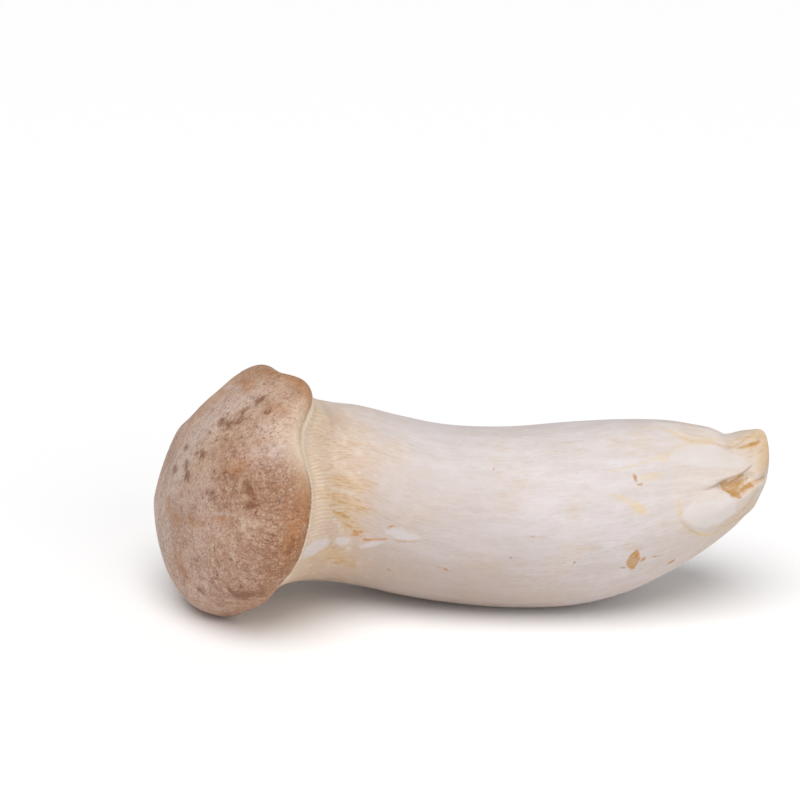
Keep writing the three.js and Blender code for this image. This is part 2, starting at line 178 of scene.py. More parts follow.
# Edges where one layer of flesh lies over the next: the upper layer is on the path's left,
# seen from outside. Height of the layer, how far back it fades, and how tanned its crease is.
# A layer rises over LIP_RISE, the skin before it dips by LIP_DIP of its height over LIP_DIP_REACH,
# the tan of the crease reaches CREASE_REACH above and below, and all die out toward the path's ends.
LIP_RISE = 0.4
LIP_DIP = 0.45
LIP_DIP_REACH = 0.9
CREASE_REACH = (0.35, 0.6)
LIP_TAPER = 0.2
LIPS = [
    # the rolled edge over the flat of the foot
    ([(59, -3.9, 52.6), (62.6, -6.9, 51.4), (67.2, -6.7, 50.6), (71.6, -5.8, 50.3),
      (75.2, -5.8, 49.8), (77.6, -4.5, 50), (79.4, -3.4, 50.4), (82.2, -0.9, 51.2)], 0.75, 3.0, 0.5),
    # the small flap at the tip
    ([(77.5, -4.2, 48.8), (79.6, -3.9, 48.4), (81.4, -3.3, 48.1), (83.5, -2.5, 48.1), (85.8, -1, 48.7)],
     0.6, 2.4, 1.0),
    # the pocket's upper and lower lips
    ([(66, -17.8, 39.4), (70.8, -16, 40.3), (74.9, -13.7, 41.9), (78.5, -12, 42.2),
      (81.1, -10.3, 43.4), (84, -8, 45)], 0.9, 2.6, 0.6),
    ([(87.2, -4.6, 40.2), (85.1, -8, 39.5), (81.8, -10.8, 39.3), (79.4, -12.5, 37.7),
      (77.6, -13.5, 37), (76, -14.3, 37.1), (73.6, -15.2, 38.8), (71.4, -16.2, 40)], 1.3, 3.4, 0.8),
    # the swelling under the pocket: its left end, and its lower fold
    ([(65.6, -18.8, 38.2), (61.9, -20.8, 35.6), (59.8, -21.9, 33.1), (60.9, -21.6, 31.3),
      (64.6, -19.5, 27.9), (68, -17, 26.2)], 0.45, 3.6, 0.3),
    ([(65.5, -18.6, 26.6), (70.3, -15.4, 25.9), (76, -11.9, 27.3), (79.1, -9.6, 28.5),
      (82.6, -5.6, 29.6), (85, -2, 32)], 0.8, 2.6, 0.7),
    ([(60, -17.4, 17.6), (65, -16.6, 21.6), (70.3, -15, 24.6), (75, -11.4, 25.6), (79, -7, 26)],
     0.5, 1.8, 0.4),
    # the far side's folds
    ([(84, 11, 42), (76, 15.5, 40), (68, 19.3, 37), (60, 22, 34)], 0.8, 3.0, 0.6),
    ([(66, 18.5, 25), (74, 15, 29), (81, 11.5, 34)], 0.7, 2.6, 0.5),
    # the oval dent near the top of the cap
    ([(-66.8, -2.8, 63.8), (-66.3, -3.8, 64), (-64.7, -5.6, 64.4), (-62.9, -5.8, 65.4)],
     0.25, 1.2, 0.1),
]

# A point further than this over or under a path lies on another side of the mushroom.
OTHER_SIDE_DEPTH = 6

# A mark's attribute counts millimetres inside it, down to this far outside it.
MARK_FLOOR = -6.0
MARK_REACH = 9

# Stains and marks: tone, then a path over the skin with its half width at each point.
MARKS = [
    # lines and soft patches along the folds of the foot
    ("yellow", [(48, -4, 53.4, 0.1), (54.3, -3.6, 53.6, 0.3), (58.7, -4.9, 52.8, 0.4),
                (61.4, -6.5, 51.6, 0.6), (64.2, -7.1, 50.4, 0.9), (67.7, -6.3, 50, 0.9),
                (71.9, -5, 50.3, 0.4)]),
    ("yellow", [(55, -12.9, 48.5, 0.4), (58, -11.5, 48.9, 0.3), (61, -9.6, 49.7, 0.3),
                (64.1, -7.9, 50, 0.5)]),
    ("yellow", [(54.4, -13.8, 47.9, 0.4), (56.7, -13.7, 47.3, 0.7)]),
    ("yellow", [(40, -18.2, 45.3, 0.15), (46.8, -16.7, 46.6, 0.35), (53.2, -14.2, 47.8, 0.3),
                (58.5, -12, 48.2, 0.4)]),
    ("yellow", [(49.7, -19.2, 43.9, 0.8), (52.2, -18.5, 44.1, 1.3), (54.9, -17.4, 44.4, 0.6)]),
    ("yellow", [(39.2, -21.8, 41.6, 0.15), (40.8, -22.9, 40, 0.35), (43.5, -23.1, 39.5, 0.7),
                (46.3, -23.6, 38.2, 1.2), (49.1, -24, 36, 1.3), (50.5, -24.1, 35.1, 0.3)]),
    ("yellow", [(59.4, -20.8, 38, 0.3), (60, -21.6, 35.9, 0.6), (59.8, -22.2, 32.9, 0.4)]),
    ("yellow", [(60.1, -22.3, 31.7, 0.4), (63.2, -21.1, 28.9, 0.6), (67, -18.6, 26.6, 0.9),
                (71.7, -14.5, 25.3, 0.8), (74.4, -14.5, 27.1, 0.8)]),
    # warm patches of the foot, and a tan line under its pocket
    ("warm", [(76.2, -3.3, 48.7, 0.6), (79.3, -2.2, 49.2, 1.2), (82.3, -0.9, 50, 1.4),
              (85.3, -0.3, 49.5, 1.6), (86.4, -0.9, 48.4, 1.4)]),
    ("warm", [(82.3, -3.1, 48, 0.7), (82.6, -3.6, 47, 0.6), (81.5, -5.3, 45.7, 0.3)]),
    ("warm", [(87.4, -0.1, 48.5, 1.6), (87.3, -2.6, 46.3, 2.8), (86.9, -4.8, 44.1, 2.6),
              (85.6, -7.3, 42.2, 1.6)]),
    ("warm", [(75.9, -4, 48.3, 0.4), (76.2, -4, 47.1, 0.4)]),
    ("warm", [(74.4, -14.5, 27.1, 0.5), (76.5, -14.7, 29.9, 1.3), (80.5, -9.9, 29.3, 1.3),
              (81.7, -9.9, 32, 1.4), (83.9, -7.4, 32.5, 1)]),
    ("warm", [(44.8, -26.1, 26.1, 0.3), (48.2, -25.4, 25.5, 0.6)]),
    # a warm golden band along the foot's lower right edge, partly painted shade where that edge turns
    # under
    ("warm", [(83.4, -10.5, 36.5, 0.5), (81.5, -11.8, 34.5, 1.0), (78.4, -14.6, 32.3, 1.2),
              (74.9, -15.7, 29.7, 0.8), (70.7, -16.9, 26.5, 0.4)]),
    ("tan", [(82.4, -11.2, 35.4, 0.1), (80, -13.2, 33.4, 0.3), (76.6, -15.2, 31, 0.1)]),
    # tan fan in the pocket, tan stains and small orange marks
    ("tan", [(73.5, -12.5, 39.4, 1.2), (75.1, -13.5, 38.5, 2.2), (76.7, -14.1, 37.5, 1.2)]),
    ("tan", [(75.2, -12.1, 40.1, 0.5), (77, -11.3, 40.7, 0.5), (79.2, -9.8, 41.4, 0.2)]),
    ("tan", [(76.4, -11.9, 39.3, 0.8), (78.4, -10.6, 39.8, 0.6), (80.5, -9.4, 40.3, 0.2)]),
    ("tan", [(76.9, -12.5, 38.7, 0.4), (78.8, -11.3, 39.2, 0.3), (80.4, -9.8, 39.9, 0.1)]),
    ("tan", [(77.4, -13.5, 37.9, 0.6), (79.6, -11.7, 38.5, 0.5), (81.2, -10.6, 38.9, 0.3)]),
    ("tan", [(47.9, -25.3, 24.6, 0.6), (47.4, -25.1, 22.7, 1.9), (46.9, -24.6, 20.6, 2.0),
             (47.3, -23.6, 18.5, 0.5)]),
    ("tan", [(81.5, -3, 48.3, 0.1), (83.2, -2.6, 48.3, 0.3), (85.2, -1.3, 48.5, 0.1)]),
    ("warm", [(80.5, -3, 48.4, 0.6), (83.2, -2.6, 48.3, 1.2), (85.2, -1.3, 48.5, 1.0)]),
    ("orange", [(47.2, -18.4, 45, 0.3), (47.4, -19.4, 44, 0.55), (47.7, -20, 43.3, 0.3)]),
    ("orange", [(48.1, -20.5, 42.6, 0.15), (48.6, -20.6, 42.4, 0.3), (49.3, -20.3, 42.7, 0.15)]),
    ("orange", [(47.9, -25.2, 23.6, 0.3), (47.9, -24.9, 22.6, 0.5)]),
    ("orange", [(49.4, -23.9, 21, 0.35), (50.2, -24, 21.7, 0.45)]),
    ("orange", [(52.6, -23.1, 21.8, 0.1), (54.1, -22.6, 21.8, 0.25), (55.5, -22, 22, 0.1)]),
    ("orange", [(56.8, -18.4, 17.1, 0.1), (58.5, -18.1, 18, 0.6), (59.3, -18, 18.6, 0.5)]),
    # warm streaks, lines and a starry mark on the neck
    ("warm", [(-39.9, -26.6, 42.1, 0.8), (-34, -22.7, 38.7, 2.4), (-27.6, -21.1, 35.2, 1.2)]),
    ("warm", [(-36.7, -26, 36.5, 1.2), (-33.2, -23, 32.9, 2.6), (-29.9, -21.4, 29.3, 1.6)]),
    ("warm", [(-38.8, -24.6, 24.2, 1.6), (-35.8, -20.7, 20.7, 2.4), (-31.7, -18.2, 17, 1.4)]),
    ("warm", [(-37.2, -22.4, 45.1, 0.8), (-31.3, -19.4, 42.2, 1.8), (-25.7, -19.3, 41.6, 0.8)]),
    ("tan", [(-34.2, -22.7, 39.5, 0.2), (-32.5, -21.6, 38.7, 0.45)]),
    ("tan", [(-36.5, -25.8, 36.6, 0.2), (-33.8, -23.6, 34.6, 0.4), (-31.8, -22.1, 33.4, 0.1)]),
    ("tan", [(-37.7, -25.7, 41.2, 0.2), (-36.1, -24.2, 40.4, 0.35)]),
    ("tan", [(-33.2, -22.9, 32, 0.2), (-31.6, -21.9, 30.4, 0.4)]),
    ("tan", [(-34.8, -19.8, 19.5, 0.3), (-33.4, -19.1, 18.6, 0.3)]),
    ("orange", [(-30.8, -21.6, 29.2, 0.2), (-30.2, -21.4, 28.2, 0.5), (-29.4, -21.2, 27.3, 0.3)]),
    ("orange", [(-30.2, -21.4, 28.2, 0.5), (-28, -21.2, 29, 0.1)]),
    ("orange", [(-30.2, -21.4, 28.2, 0.4), (-31.8, -21.6, 27.6, 0.1)]),
    ("orange", [(-28, -20.9, 26.1, 0.25), (-24.5, -21.1, 26, 0.45), (-21.6, -21.8, 26.8, 0.2)]),
    ("orange", [(-21.4, -22.1, 30.1, 0.3), (-19.6, -22.4, 31, 0.15)]),
    ("tan", [(-19.3, -22.3, 26.6, 0.15), (-15.8, -22.9, 26.3, 0.3), (-10.9, -23.7, 27.4, 0.1)]),
    # scratches on the stalk
    ("tan", [(-10.2, -22.7, 18.6, 0.15), (-8.8, -23, 19.2, 0.3)]),
    ("tan", [(-7, -23.2, 18.7, 0.2), (-5.3, -23.3, 18.1, 0.35), (-3.2, -23.5, 17.7, 0.15)]),
    ("tan", [(8, -15.3, 45.6, 0.15), (9.2, -16.5, 44.7, 0.3), (10.7, -17, 44.3, 0.15)]),
    ("orange", [(18.1, -26.3, 29.3, 0.35), (19.2, -26.4, 29.3, 0.3)]),
    # pale scuffs, and a painted highlight along the dent near the top of the cap
    ("pale", [(-43.4, -30, 26, 2.0), (-41.2, -28.6, 27.2, 3.0), (-39.2, -26.6, 27.2, 2.0)]),
    ("pale", [(-35, -23.6, 27, 1.2), (-33.8, -21.8, 26.2, 1.5)]),
    ("pale", [(-21.2, -22, 28.9, 0.8), (-17.9, -22.7, 28.6, 1.9), (-13.2, -23.4, 27.7, 0.8)]),
    ("pale", [(-28.4, -20.5, 24, 0.6), (-24.9, -21, 25.2, 0.9), (-22.4, -21.5, 25.6, 0.4)]),
    ("pale", [(-36.1, -25.7, 34, 0.5), (-34.9, -24.3, 31.9, 0.6)]),
    # painted highlight along the oval dent near the top of the cap
    ("pale", [(-67.4, 4.7, 63.1, 0.7), (-64.7, -1.2, 63.9, 0.8), (-62.9, -2, 64.9, 0.6)]),
    ("pale", [(-53.8, -27.6, 56.3, 0.3), (-51.6, -28.5, 55.5, 0.6), (-49.4, -27.5, 56.6, 0.3)]),
    ("pale", [(-53.2, -29.3, 54.3, 0.3), (-51, -29.8, 53.7, 0.6), (-49.1, -28.8, 55, 0.3)]),
    ("pale", [(-69, -28.6, 37, 0.2), (-65, -31.3, 38.1, 0.3)]),
    ("pale", [(-55.1, 4.3, 68.8, 0.5), (-53.6, 4, 68.3, 0.5)]),
    # rust patches of the cap
    ("rust", [(-62.5, 2.2, 65.8, 1), (-60.5, -5, 65.4, 1.4)]),
    ("rust", [(-54.5, -15.6, 64.1, 0.6), (-53, -18.2, 63.9, 0.6)]),
    ("rust", [(-65.5, -26.9, 49.1, 0.8), (-62.6, -28.3, 50.2, 1.6), (-60.3, -28.8, 51.6, 1)]),
    ("rust", [(-58.1, -25.8, 56.7, 0.4), (-54.7, -26.1, 57.7, 0.7)]),
    ("rust", [(-47.4, -36.1, 39.6, 0.8), (-46.7, -37.5, 35.2, 1.9), (-47.3, -38.2, 31.4, 1.6),
              (-48.6, -38.1, 27.3, 0.8)]),
    ("rust", [(-68.3, -29.5, 36.1, 0.6), (-66, -31.1, 36.7, 0.7)]),
    ("rust", [(-84.4, -8.3, 33.8, 0.6), (-83.1, -12.5, 31.2, 1.5), (-80.4, -17, 30.5, 1.2)]),
    ("rust", [(-77.1, -21.1, 32.1, 0.8), (-73.2, -25.9, 32.9, 1.3)]),
    ("rust", [(-81, -19.4, 21.8, 0.6), (-79.5, -21.5, 18.4, 1.3), (-77.7, -22.9, 14.7, 0.8)]),
    ("rust", [(-56.7, 3, 68.4, 0.6), (-53.6, -1, 68.9, 0.9)]),
    ("rust", [(-48.5, -6.3, 69, 1.2), (-45.2, -10.4, 68.6, 2.4), (-43.2, -14.7, 67, 2.4),
              (-43, -17.4, 64.7, 1.4)]),
    ("rust", [(-51.8, -17.7, 64.5, 0.5), (-49.7, -19.9, 64.1, 0.7)]),
    ("rust", [(-46.1, -29.7, 52.4, 0.5), (-43.9, -31.2, 48.4, 1.6), (-43.4, -33.8, 43, 1.8),
              (-43.9, -36, 38, 1.4)]),
    # brown spots of the cap
    ("brown", [(-67.5, -11.9, 58.1, 1), (-65.5, -14.6, 57.9, 1.8), (-62.2, -16.1, 59.5, 1.2),
               (-61.7, -12.8, 61.4, 0.8)]),
    ("brown", [(-63.5, -13.6, 59.9, 0.5), (-63, -13.4, 60.3, 0.4)]),
    ("brown", [(-57.2, -12.6, 63.9, 0.9), (-55.9, -10.9, 65.1, 0.9)]),
    ("brown", [(-58, -20.9, 60.1, 0.4), (-57.4, -21.6, 60, 0.3)]),
    ("brown", [(-54.5, -18.2, 63.1, 0.4), (-54, -18.5, 63.3, 0.4)]),
    ("brown", [(-74.6, -14.1, 49.2, 0.7), (-72.5, -16.8, 49.5, 0.7)]),
    ("brown", [(-79, -5.3, 48.2, 0.5), (-78.1, -7.5, 48.1, 0.7)]),
    ("brown", [(-77.7, -13.9, 43.4, 0.6), (-77.3, -15.2, 42.4, 0.9)]),
    ("brown", [(-78.3, -10.8, 45.3, 0.4), (-77.9, -11.9, 45.1, 0.5)]),
    ("brown", [(-82.7, -5, 41.1, 0.5), (-81.5, -7.2, 42.1, 0.6)]),
    ("brown", [(-71.1, -25, 42.1, 0.4), (-70.1, -25.9, 41.9, 0.9), (-68.9, -26.7, 42.8, 0.5)]),
    ("brown", [(-64.4, -28.2, 48.1, 0.5), (-63.5, -28.8, 48, 0.5)]),
    ("brown", [(-60.1, -31, 47, 0.6), (-58.6, -32.1, 45.7, 1), (-57.7, -33, 44.1, 1),
               (-57.7, -33.6, 42.7, 1), (-58.8, -33.5, 41.6, 1.1), (-57.5, -34.1, 41.4, 0.5)]),
    ("brown", [(-58.4, -31.9, 46.6, 0.5), (-57.3, -32.3, 46.6, 0.4)]),
    ("brown", [(-52.1, -30.1, 53.2, 0.15), (-49.8, -29.1, 54.6, 0.25)]),
    ("brown", [(-46.6, -37.9, 33, 0.4), (-47.7, -38.3, 29.4, 0.7)]),
    ("brown", [(-64.7, -33.1, 16.2, 1), (-61.8, -32.5, 13.8, 1.9), (-58.6, -34.3, 15.8, 1.2)]),
    ("brown", [(-55.5, -36, 18.7, 0.5), (-56, -32.3, 13.8, 0.8)]),
    ("brown", [(-69.6, -31, 18.3, 0.5), (-67.7, -32.7, 20.2, 0.8)]),
    ("brown", [(-75, -26.3, 22.3, 0.4), (-74.7, -26.7, 21.5, 0.5)]),
    ("brown", [(-74.2, -25.6, 12.9, 0.3), (-73.6, -26.1, 12.8, 0.4)]),
    ("brown", [(-61.5, -35.2, 32.9, 0.4), (-61.2, -35.5, 32.3, 0.4)]),
    # the sides that the picture doesn't show
    ("warm", [(-20, 20, 45, 1.5), (-8, 22, 40, 1.0)]),
    ("warm", [(30, 24, 36, 1.2), (42, 23, 38, 0.6)]),
    ("tan", [(20, 26, 30, 0.3), (24, 26, 29.4, 0.8), (27, 26, 29.8, 0.2)]),
    ("tan", [(62, 20, 40, 0.2), (65, 19, 41, 0.9)]),
    ("brown", [(-70, 12, 56, 1.0), (-66, 16, 57, 1.6)]),
    ("brown", [(-74, 16, 40, 1.2), (-71, 21, 38, 0.7)]),
    ("brown", [(-76, 4, 22, 0.9), (-73, 8, 18, 1.3)]),
    ("rust", [(-72, 22, 44, 0.8), (-66, 26, 40, 1.6)]),
    # the smooth flats of the foot
    ("flat", [(59.7, -12.2, 47.6, 2.2), (63.8, -10.5, 47.6, 3.4), (68.6, -9.3, 46.9, 4.0),
              (73.3, -8.3, 45.9, 3.4), (77.4, -7.9, 44.9, 2.4)]),
    ("flat", [(63.4, -21.5, 34.4, 2.6), (66.3, -20.8, 33.5, 3.8), (70.0, -19.2, 33.2, 4.2),
              (73.5, -17.8, 34.2, 3.4)]),
    # the pale bloom of the cap's left and of its upper right, partly a painted sheen where the light
    # falls
    ("bloom_and_sheen", [(-60, -10, 66, 4.0), (-69, -8, 60, 7.0), (-77, -8, 50, 6.0), (-83, -8, 38, 4.0),
               (-82, -14, 24, 3.0)]),
    ("bloom_and_sheen", [(-55, -26, 57, 3.0), (-50, -28, 55, 3.0)]),
]
TONES = ("yellow", "warm", "tan", "orange", "brown", "rust", "pale", "flat", "bloom_and_sheen")

# The camera looks along +Y, a little down, with a long lens.
CAMERA_HEIGHT_ANGLE = 18.0
CAMERA_DISTANCE = 0.5383
CAMERA_LENS = 85.0
CAMERA_SENSOR = 36.0
CAMERA_TARGET = (-0.01683, 0.0046, 0.0605)

# Soft lamps: name, the way the light goes, its spread in degrees, its strength and its colour.
LAMPS = [
    ("top_light", (0.06, 0.35, -0.93), 55.0, 2.35, (1.0, 0.99, 0.975)),
    ("right_light", (-0.55, 0.75, -0.35), 40.0, 0.65, (1.0, 0.985, 0.97)),
]
AIR_COLOUR = (0.985, 0.99, 1.0, 1.0)
AIR_STRENGTH = 0.3

FLOOR_HALF_WIDTH = 6.0
FLOOR_COLOUR = "fdfdfe"
FLOOR_ROUGHNESS = 0.75


def set_camera():
    rise = math.radians(CAMERA_HEIGHT_ANGLE)
    data = bpy.data.cameras.new("photo_camera")
    data.lens = CAMERA_LENS
    data.sensor_width = CAMERA_SENSOR
    data.clip_start = 0.01
    data.clip_end = 20.0
    camera = bpy.data.objects.new("photo_camera", data)
    back = Vector((0.0, -math.cos(rise), math.sin(rise)))
    camera.location = Vector(CAMERA_TARGET) + back * CAMERA_DISTANCE
    camera.rotation_euler = (math.pi / 2 - rise, 0.0, 0.0)
    bpy.context.collection.objects.link(camera)
    bpy.context.scene.camera = camera


def add_sky_lamp(name, aim, spread, strength, colour):
    """A soft lamp so far away that it lights the whole floor alike."""
    data = bpy.data.lights.new(name, "SUN")
    data.angle = math.radians(spread)
    data.energy = strength
    data.color = colour
    light = bpy.data.objects.new(name, data)
    light.rotation_euler = Vector(aim).to_track_quat("-Z", "Y").to_euler()
    bpy.context.collection.objects.link(light)


def set_lights():
    for lamp in LAMPS:
        add_sky_lamp(*lamp)
    world = bpy.data.worlds.new("studio_air")
    world.use_nodes = True
    air = world.node_tree.nodes["Background"].inputs
    air["Color"].default_value = AIR_COLOUR
    air["Strength"].default_value = AIR_STRENGTH
    bpy.context.scene.world = world
    bpy.context.scene.view_settings.view_transform = "Standard"


def add_floor(material):
    """A wide plain pale floor."""
    half = FLOOR_HALF_WIDTH
    corners = [(-half, -half, 0.0), (half, -half, 0.0), (half, half, 0.0), (-half, half, 0.0)]
    mesh = bpy.data.meshes.new("studio_floor")
    mesh.from_pydata(corners, [], [(0, 1, 2, 3)])
    mesh.materials.append(material)
    floor = bpy.data.objects.new("studio_floor", mesh)
    bpy.context.collection.objects.link(floor)


def feed(tree, target, value):
    """Links a socket to another one, or sets its value."""
    if isinstance(value, Socket):
        tree.links.new(value.socket, target)
    else:
        target.default_value = value


class Socket:
    """A node socket that takes part in Python sums; each operator adds one Math node."""

    def __init__(self, tree, socket):
        self.tree = tree
        self.socket = socket

    def math(self, operation, *others):
        node = self.tree.nodes.new("ShaderNodeMath")
        node.operation = operation
        for index, value in enumerate((self, *others)):
            feed(self.tree, node.inputs[index], value)
        return Socket(self.tree, node.outputs[0])

    def __add__(self, other):
        return self.math("ADD", other)

    def __sub__(self, other):
        return self.math("SUBTRACT", other)

    def __mul__(self, other):
        return self.math("MULTIPLY", other)

    def __pow__(self, other):
        return self.math("POWER", other)

    def __neg__(self):
        return self.math("MULTIPLY", -1.0)

    def __rsub__(self, other):
        return (-self).math("ADD", other)

    __radd__ = __add__
    __rmul__ = __mul__


class Tree:
    """Adds nodes to a shader tree or a geometry tree."""

    def __init__(self, tree):
        self.tree = tree

    def node(self, kind, settings=None, output=0, **values):
        """One node: its settings first, then its sockets' values or links, by socket name."""
        node = self.tree.nodes.new(kind)
        for name, setting in (settings or {}).items():
            setattr(node, name, setting)
        for name, value in values.items():
            label = name.replace("_", " ")
            target = next(s for s in node.inputs if s.name == label and s.enabled)
            feed(self.tree, target, value)
        if isinstance(output, str):
            found = next(s for s in node.outputs if s.name == output and s.enabled)
        else:
            found = [s for s in node.outputs if s.enabled][output]
        return Socket(self.tree, found)

    def smooth(self, value, low, high):
        """Zero under low, one over high, and a smooth rise between them."""
        return self.node(
            "ShaderNodeMapRange", {"interpolation_type": "SMOOTHSTEP"},
            Value=value, From_Min=low, From_Max=high,
        )


class Paint(Tree):
    """A material under construction."""

    def __init__(self, name):
        self.material = bpy.data.materials.new(name)
        self.material.use_nodes = True
        super().__init__(self.material.node_tree)
        self.shader = self.tree.nodes["Principled BSDF"]

    def attribute(self, name):
        return self.node("ShaderNodeAttribute", {"attribute_name": name}, "Fac")

    def noise(self, vector, scale, detail=2.0, roughness=0.5, distortion=0.0):
        return self.node(
            "ShaderNodeTexNoise", None, "Fac",
            Vector=vector, Scale=scale, Detail=detail, Roughness=roughness, Distortion=distortion,
        )

    def blend(self, share, first, second):
        """From the first colour to the second, by a share from 0 to 1."""
        node = self.tree.nodes.new("ShaderNodeMix")
        node.data_type = "RGBA"
        sockets = [s for s in node.inputs if s.enabled]
        for target, value in zip(sockets, (share, first, second)):
            feed(self.tree, target, value)
        return Socket(self.tree, [s for s in node.outputs if s.enabled][0])

    def layers(self, colour, tints):
        """Lays tints over a colour, one after another: the share of each, and its screen code."""
        for share, code in tints:
            colour = self.blend(share, colour, shade(code))
        return colour

    def finish(self, **values):
        """Feeds the shader's own sockets, by name."""
        for name, value in values.items():
            feed(self.tree, self.shader.inputs[name.replace("_", " ")], value)


def shade(code):
    """A colour from its six-digit screen code, as linear light."""
    parts = [int(code[i:i + 2], 16) / 255 for i in (0, 2, 4)]
    linear = [p / 12.92 if p <= 0.04045 else ((p + 0.055) / 1.055) ** 2.4 for p in parts]
    return (*linear, 1.0)


def smooth_step(value, low, high):
    share = np.clip((value - low) / (high - low), 0.0, 1.0)
    return share * share * (3.0 - 2.0 * share)


def ring_axes(turn, tilt):
    """The axis of a turned and tilted ring, its upward and its sideways direction."""
    a, b = np.radians(turn), np.radians(tilt)
    along = np.stack([-np.cos(a) * np.cos(b), -np.sin(a) * np.cos(b), np.sin(b)], -1)
    up = np.stack([np.cos(a) * np.sin(b), np.sin(a) * np.sin(b), np.cos(b)], -1)
    side = np.stack([np.sin(a), -np.cos(a), np.zeros_like(a)], -1)
    return along, up, side


def all_stations():
    along, up, _ = ring_axes(np.float64(CAP_TURN), np.float64(CAP_TILT))
    rows = list(STALK_STATIONS)
    for share, height, slip in CAP_STATIONS:
        middle = np.array(CAP_MIDDLE) + along * height - up * slip
        radius = CAP_RADIUS * share
        rows.append((*middle, radius, radius, CAP_TURN, CAP_TILT, share * share))
    return np.array(rows)


STATIONS = all_stations()


def station_at(place):
    """A smooth curve through the stations, at places that count them from zero."""
    last = LAST_STATION
    i = np.minimum(np.floor(place).astype(int), last - 1)
    f = (place - i)[..., None]
    a, b, c, d = (STATIONS[np.clip(i + k, 0, last)] for k in (-1, 0, 1, 2))
    square = 2 * a - 5 * b + 4 * c - d
    cube = 3 * b - 3 * c + d - a
    return 0.5 * (2 * b + (c - a) * f + square * f ** 2 + cube * f ** 3)


def round_curve(pairs, angle):
    """A smooth closed curve through pairs of angle and value."""
    once = np.array(pairs, float)
    angles = np.concatenate([once[:, 0] + turn for turn in (-360, 0, 360)])
    values = np.tile(once[:, 1], 3)
    turned = angle % 360
    i = np.searchsorted(angles, turned, side="right") - 1
    span = angles[i + 1] - angles[i]
    f = (turned - angles[i]) / span
    gaps = np.maximum(np.roll(angles, -1) - np.roll(angles, 1), 1e-6)
    slope = (np.roll(values, -1) - np.roll(values, 1)) / gaps
    start = (2 * f ** 3 - 3 * f ** 2 + 1) * values[i] + (f ** 3 - 2 * f ** 2 + f) * span * slope[i]
    end = (3 * f ** 2 - 2 * f ** 3) * values[i + 1] + (f ** 3 - f ** 2) * span * slope[i + 1]
    return start + end


def skin_point(place, angle):
    """Points of the plain skin, before flats, folds and gills."""
    station = station_at(place)
    along, up, side = ring_axes(station[..., 5], station[..., 6])
    uneven = np.clip(station[..., 7], 0, 1)
    reach = 1 + uneven * round_curve(EDGE_REACH, angle)
    height = np.maximum(station[..., 3], 0) * reach * np.cos(np.radians(angle))
    width = np.maximum(station[..., 4], 0) * reach * np.sin(np.radians(angle))
    lean = uneven * round_curve(EDGE_LEAN, angle)
    return station[..., :3] + height[..., None] * up + width[..., None] * side + lean[..., None] * along


def skin_normal(place, angle):
    ahead = skin_point(np.minimum(place + 0.02, LAST_STATION), angle)
    behind = skin_point(np.maximum(place - 0.02, 0), angle)
    across = skin_point(place, angle + 1) - skin_point(place, angle - 1)
    normal = np.cross(ahead - behind, across)
    return normal / np.maximum(np.linalg.norm(normal, axis=-1, keepdims=True), 1e-9)


def trim(points):
    """Pushes points back onto each flat that they stand over."""
    for at, facing, soft in FLATS:
        direction = np.array(facing) / np.linalg.norm(facing)
        over = (points - np.array(at)) @ direction
        excess = np.where(over > 20 * soft, over, soft * np.log1p(np.exp(np.minimum(over / soft, 20))))
        points = points - excess[..., None] * direction
    return points


def smooth_path(path, rounds=2):
    """Rounds the corners of a path, keeping its ends."""
    path = np.array(path, float)
    for _ in range(rounds):
        near, far = 0.75 * path[:-1] + 0.25 * path[1:], 0.25 * path[:-1] + 0.75 * path[1:]
        between = np.stack([near, far], 1).reshape(-1, path.shape[1])[1:-1]
        path = np.concatenate([path[:1], between, path[-1:]])
    return path


def follow_path(points, normals, path, reach):
    """For the points within reach of a path over the skin: which they are, their distance across it
    (plus on its left, seen from outside), their share along it, and the path's own fourth value."""
    path = smooth_path(path)
    line = path[:, :3]
    around = (points > line.min(0) - reach) & (points < line.max(0) + reach)
    near = np.flatnonzero(np.all(around, axis=1))
    lengths = np.linalg.norm(np.diff(line, axis=0), axis=1)
    starts = np.concatenate([[0], np.cumsum(lengths)]) / lengths.sum()
    p, n = points[near], normals[near]
    gap, side, along = np.full(len(near), 1e9), np.ones(len(near)), np.zeros(len(near))
    for i, run in enumerate(np.diff(line, axis=0)):
        share = np.clip(((p - line[i]) @ run) / (run @ run), 0, 1)
        offset = p - line[i] - share[:, None] * run
        depth = np.einsum("ij,ij->i", offset, n)
        level = offset - depth[:, None] * n
        away = np.linalg.norm(level, axis=1) + 100 * (np.abs(depth) > OTHER_SIDE_DEPTH)
        closer = away < gap
        gap[closer] = away[closer]
        side[closer] = np.sign(np.einsum("ij,ij->i", np.cross(n, run), level))[closer]
        along[closer] = (starts[i] + share * (starts[i + 1] - starts[i]))[closer]
    own = np.interp(along, starts, path[:, 3]) if path.shape[1] > 3 else None
    return near, gap * side, along, own


def lip_height(points, normals):
    """The steps where one layer lies over the next, and how tanned their creases are."""
    height, crease = np.zeros(len(points)), np.zeros(len(points))
    for path, size, reach, tan in LIPS:
        near, across, along, _ = follow_path(points, normals, path, 4 * reach)
        taper = smooth_step(along, 0, LIP_TAPER) * smooth_step(1 - along, 0, LIP_TAPER)
        up = np.maximum(across, 0)
        above = (1 - np.exp(-up / LIP_RISE)) * np.exp(-up / reach)
        below = -LIP_DIP * np.exp(np.minimum(across, 0) / LIP_DIP_REACH)
        height[near] += size * taper * np.where(across > 0, above, below)
        shadow = np.exp(-np.where(across > 0, across / CREASE_REACH[0], -across / CREASE_REACH[1]))
        crease[near] = np.maximum(crease[near], tan * taper * shadow)
    return height, crease


def tone_share(points, normals, tone):
    """Millimetres inside the nearest mark of a tone, or under zero outside it."""
    inside = np.full(len(points), MARK_FLOOR)
    for mark_tone, path in MARKS:
        if mark_tone == tone:
            near, across, _, width = follow_path(points, normals, path, MARK_REACH)
            inside[near] = np.maximum(inside[near], np.maximum(width - np.abs(across), MARK_FLOOR))
    return inside


